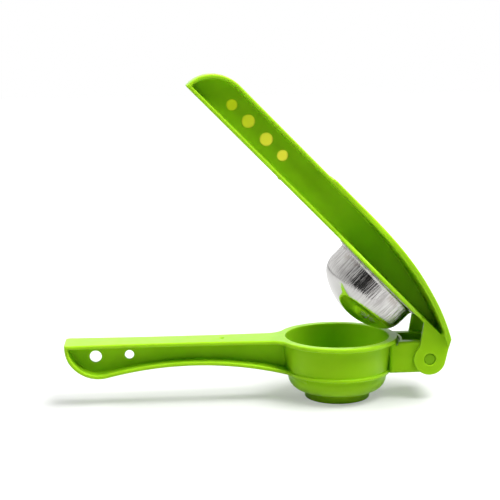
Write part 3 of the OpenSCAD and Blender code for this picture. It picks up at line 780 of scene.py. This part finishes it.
def plastic_material(name, colour, deep, painted_glow=None):
    """Smooth glossy moulded plastic, faintly mottled, with the ripple that a mould polish leaves.

    Where a glow colour is given, thin edges are painted in it, a painted glow that stands in for light
    through the plastic; the thin skins of the pockets are painted lighter too, and also let light
    through.
    """
    material = bpy.data.materials.new(name)
    material.use_nodes = True
    n = Nodes(material)
    place = n.add("ShaderNodeTexCoord").outputs["Object"]
    mottle = n.spread(n.noise(place, MOTTLE_SCALE), 0.0, 1.0)
    tone = n.blend(mottle, colour, deep)
    if painted_glow is not None:
        thin = n.add("ShaderNodeAttribute")
        thin.attribute_name = "thin"
        # painted glow: thin edges are painted lighter and yellower, standing in for light through the
        # plastic
        tone = n.blend(n.ramp(thin.outputs["Fac"], THIN_START, THIN_FULL, 0.0, 1.0), tone, painted_glow)
        skin, along = pocket_skins(n)
        # painted glow on the pockets' skins, lighter and yellower towards the head end
        tone = n.blend(skin, tone, n.blend(along, SKIN_GLOW_TIP_END, SKIN_GLOW_HEAD_END))
        n.put(n.shader, "Transmission Weight", n.math("MULTIPLY", skin, SKIN_SHARE))
    n.put(n.shader, "Base Color", tone)
    n.put(n.shader, "Roughness", n.spread(n.noise(place, GLOSS_SCALE), *PLASTIC_ROUGHNESS))
    ripple = n.noise(place, RIPPLE_SCALE, 2.0)
    n.put(n.shader, "Normal", n.bump(ripple, 0.04, 0.00002))
    n.put(n.shader, "IOR", PLASTIC_IOR)
    n.put(n.shader, "Specular Tint", PLASTIC_SHEEN)
    n.put(n.shader, "Subsurface Weight", GLOW_WEIGHT)
    n.put(n.shader, "Subsurface Radius", GLOW_SPREAD)
    n.put(n.shader, "Subsurface Scale", GLOW_REACH * MM)
    return material


def steel_material():
    """Polished pressed steel: drawn lines up the side, a smooth crown, faint brownish patches at the lip.
    """
    material = bpy.data.materials.new("polished_steel")
    material.use_nodes = True
    n = Nodes(material)
    axes = lever_axes(n, (-DOME_X, 0, BASE_H))
    turn = n.math("ARCTAN2", axes["Y"], axes["X"])
    height = axes["Z"]
    around, along = n.math("MULTIPLY", turn, 9.0), n.math("MULTIPLY", height, 25.0)
    lines = n.add("ShaderNodeCombineXYZ", X=around, Y=along)
    streak = n.noise(lines.outputs[0], 3.0, 3.0)
    side = n.ramp(height, *LINES_HEIGHT, 0.0, 1.0)
    near_lip = n.ramp(height, *BROWN_PATCH_HEIGHT, 0.0, 1.0)
    place = n.add("ShaderNodeTexCoord").outputs["Object"]
    # brownish patches in random spots near the lip
    brown_patch = n.math("MULTIPLY", near_lip, n.ramp(n.noise(place, 160.0), 0.50, 0.62, 0.0, 0.45))
    drawn = n.math("MULTIPLY", side, n.spread(streak, 0, 1))
    clean = n.blend(drawn, srgb(212, 211, 208), srgb(170, 167, 165))
    n.put(n.shader, "Base Color", n.blend(brown_patch, clean, srgb(128, 104, 88)))
    n.put(n.shader, "Metallic", 1.0)
    n.put(n.shader, "Normal", n.bump(n.math("MULTIPLY", streak, side), 0.8, 0.0004))
    n.put(n.shader, "Roughness", n.math("ADD", n.math("MULTIPLY", side, 0.05), 0.08))
    return material


# ---- Studio ----

CAMERA_PLACE = (-98.672, -684.346, 202.466)
CAMERA_RIGHT = (0.99727, -0.07317, -0.01033)
CAMERA_UP = (0.02236, 0.16561, 0.98597)
FOCAL_PIXELS, FRAME_PIXELS, SENSOR_MM = 1230.2, 500, 36.0

# How strongly the room lights the object, how bright its side walls are, and in which direction
# its dark part lies, which the steel dome mirrors
WORLD_LEVEL, SIDE_LEVEL = 0.08, 0.60
DARK_TOWARD = (-0.485, -0.84, 0.242)
DARK_CORE, DARK_EDGE, DARK_SHARE = math.radians(18), math.radians(31), 0.95
# Metres from the object to the floor's front edge and to its others
FLOOR_FRONT, FLOOR_REACH = 0.60, 4.0
# The floor's grey, what is added near the object to whiten it to the camera, and from which
# distance to which, in metres, that rises to a full white
FLOOR_GREY, FLOOR_LIFT, LIFT_START, LIFT_FULL = (0.54, 0.54, 0.54, 1.0), 0.36, 0.08, 0.8
# How much of that lift is seen in reflections, and how much through the pockets' skins
FLOOR_MIRRORED, FLOOR_THROUGH = 0.28, 0.75

# Each lamp's name, place and size in metres, power in watts, and whether it shows in reflections
LAMP_TARGET = (0, 0, 0.06)
LAMPS = (
    ("overhead", (0.54, 0.0, 1.40), (1.35, 1.00), 33.0, True),
    ("front", (0.20, -0.42, 0.92), (0.40, 0.40), 4.8, True),
    ("left", (-0.75, 0.10, 0.60), (0.50, 0.50), 2.8, False),
)


def make_camera():
    """The camera of the photograph, fitted to its circles, rim, foot and handle."""
    lens = bpy.data.cameras.new("camera")
    lens.sensor_width = SENSOR_MM
    lens.lens = FOCAL_PIXELS / FRAME_PIXELS * SENSOR_MM
    lens.clip_start, lens.clip_end = 0.01, 100
    camera = bpy.data.objects.new("camera", lens)
    bpy.context.scene.collection.objects.link(camera)
    right, up = Vector(CAMERA_RIGHT).normalized(), Vector(CAMERA_UP)
    back = right.cross(up).normalized()
    up = back.cross(right)
    turn = Matrix((right, up, back)).transposed()
    camera.matrix_world = Matrix.Translation(Vector(CAMERA_PLACE) * MM) @ turn.to_4x4()
    bpy.context.scene.camera = camera


def make_light(name, place, size, watts, mirrored):
    """A soft elliptical lamp, aimed at the object."""
    lamp = bpy.data.lights.new(name, "AREA")
    lamp.shape, lamp.energy = "ELLIPSE", watts
    lamp.size, lamp.size_y = size
    light = bpy.data.objects.new(name, lamp)
    bpy.context.scene.collection.objects.link(light)
    light.location = place
    light.visible_glossy = mirrored
    light.rotation_euler = (Vector(place) - Vector(LAMP_TARGET)).to_track_quat("Z", "Y").to_euler()


def make_world():
    """A white room, greyer at the sides and dark behind the camera; plain white to the camera."""
    world = bpy.data.worlds.new("studio")
    world.use_nodes = True
    bpy.context.scene.world = world
    n = Nodes(world)
    toward = n.add("ShaderNodeTexCoord").outputs["Generated"]
    axes = n.add("ShaderNodeSeparateXYZ", Vector=toward).outputs
    dark = n.add("ShaderNodeVectorMath")
    dark.operation = "DOT_PRODUCT"
    n.put(dark, 0, toward)
    n.put(dark, 1, tuple(Vector(DARK_TOWARD).normalized()))
    dark = n.ramp(dark.outputs["Value"], math.cos(DARK_EDGE), math.cos(DARK_CORE), 0, 1)
    walls = n.ramp(axes["Y"], -0.1, 0.6, SIDE_LEVEL, 1.0)
    walls = n.math("MAXIMUM", walls, n.ramp(axes["Z"], 0.5, 0.8, 0.0, 1.0))
    room = n.math("MULTIPLY", walls, n.math("SUBTRACT", 1.0, n.math("MULTIPLY", dark, DARK_SHARE)))
    path = n.add("ShaderNodeLightPath").outputs
    mirrored = n.math("MAXIMUM", path["Is Glossy Ray"], path["Is Transmission Ray"])
    level = n.ramp(mirrored, 0, 1, WORLD_LEVEL, 1.0)
    level = n.math("MAXIMUM", n.math("MULTIPLY", room, level), path["Is Camera Ray"])
    background = n.tree.nodes["Background"]
    n.put(background, "Color", (1, 1, 1, 1))
    n.put(background, "Strength", level)


def make_floor():
    """A pale table: it keeps shadows, and is lifted to white for the camera, less in reflections."""
    mesh = bpy.data.meshes.new("floor")
    near, far = -FLOOR_FRONT, FLOOR_REACH
    mesh.from_pydata([(-far, near, 0), (far, near, 0), (far, far, 0), (-far, far, 0)], [], [(0, 1, 2, 3)])
    floor = bpy.data.objects.new("floor", mesh)
    bpy.context.scene.collection.objects.link(floor)
    material = bpy.data.materials.new("pale_table")
    material.use_nodes = True
    n = Nodes(material)
    path = n.add("ShaderNodeLightPath").outputs
    mirrored = n.math("MULTIPLY", path["Is Glossy Ray"], FLOOR_MIRRORED)
    through = n.math("MULTIPLY", path["Is Transmission Ray"], FLOOR_THROUGH)
    seen = n.math("ADD", path["Is Camera Ray"], n.math("MAXIMUM", mirrored, through))
    diffuse = n.add("ShaderNodeBsdfDiffuse", Color=FLOOR_GREY)
    away = n.add("ShaderNodeVectorMath")
    away.operation = "LENGTH"
    n.put(away, 0, n.add("ShaderNodeTexCoord").outputs["Object"])
    lift = n.math("MULTIPLY", seen, n.ramp(away.outputs["Value"], LIFT_START, LIFT_FULL, FLOOR_LIFT, 1.0))
    white = n.add("ShaderNodeEmission", Color=(1, 1, 1, 1), Strength=lift)
    lifted = n.add("ShaderNodeAddShader")
    n.put(lifted, 0, diffuse.outputs[0])
    n.put(lifted, 1, white.outputs[0])
    n.put(n.tree.nodes["Material Output"], "Surface", lifted.outputs[0])
    n.tree.nodes.remove(n.shader)
    mesh.materials.append(material)


make_camera()
make_world()
make_floor()
for lamp_values in LAMPS:
    make_light(*lamp_values)
# The third colour is the painted glow on thin edges, lighter and yellower than the green
green = plastic_material("green_plastic", srgb(162, 216, 28), srgb(155, 211, 22), srgb(172, 226, 42))
make_mouldings(green)
make_dome(steel_material())
# The pin is painted a darker green than the mouldings: painted shade of the recess it sits in
make_pin(plastic_material("pin_plastic", srgb(134, 188, 28), srgb(122, 176, 22)))

bpy.context.scene.view_settings.view_transform = "Standard"
